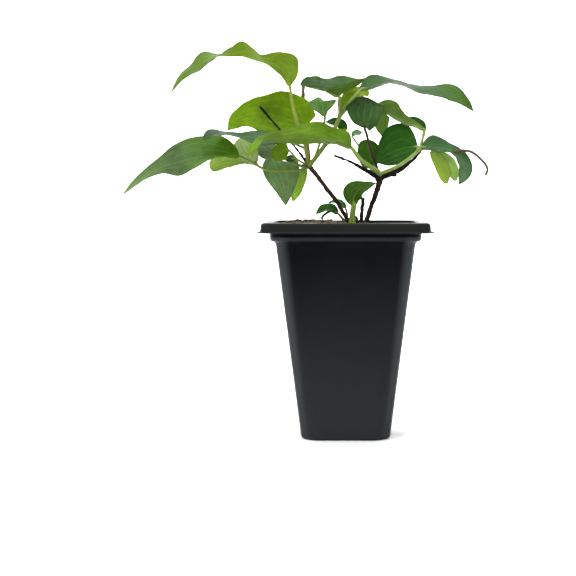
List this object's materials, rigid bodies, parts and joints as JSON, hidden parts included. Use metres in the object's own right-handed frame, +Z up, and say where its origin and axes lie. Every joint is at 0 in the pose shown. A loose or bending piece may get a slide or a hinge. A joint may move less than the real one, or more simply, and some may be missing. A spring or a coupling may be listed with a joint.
{
  "type": "potted clematis plant",
  "caption": "Young clematis with slender leafy stems growing in a tall, square, tapered black nursery pot filled with potting mix.",
  "frame": {"origin": "middle of the pot's flat underside", "axes": "+Z up, the pot's sides along X and Y, and the pictured front looks along -Y"},
  "size_m": [0.2163, 0.102, 0.2334],
  "materials": {
    "pot": "satin black moulded plastic, greyer at the round corners",
    "potting_mix": "dark brown peat and bark crumbs, matte",
    "stem": "dark brown young bark, matte",
    "leaf": "green leaf, satin above and paler and matte below"
  },
  "bodies": {
    "root": {"pot": "pot", "potting_mix": "potting_mix", "stem_left": "stem", "stem_right": "stem", "stem_thin": "stem", "stem_stub": "stem", "leaf_top_left": "leaf", "leaf_round": "leaf", "leaf_small_cupped": "leaf", "leaf_top_pair": "leaf", "leaf_dark_heart": "leaf", "leaf_right_spray": "leaf", "leaf_right_behind": "leaf", "leaf_centre": "leaf", "leaf_centre_behind": "leaf", "leaf_left_long": "leaf", "leaf_left_grey": "leaf", "leaf_hanging": "leaf", "leaf_left_small": "leaf", "shoot_broad": "leaf", "shoot_low": "leaf"}
  },
  "joints": []
}
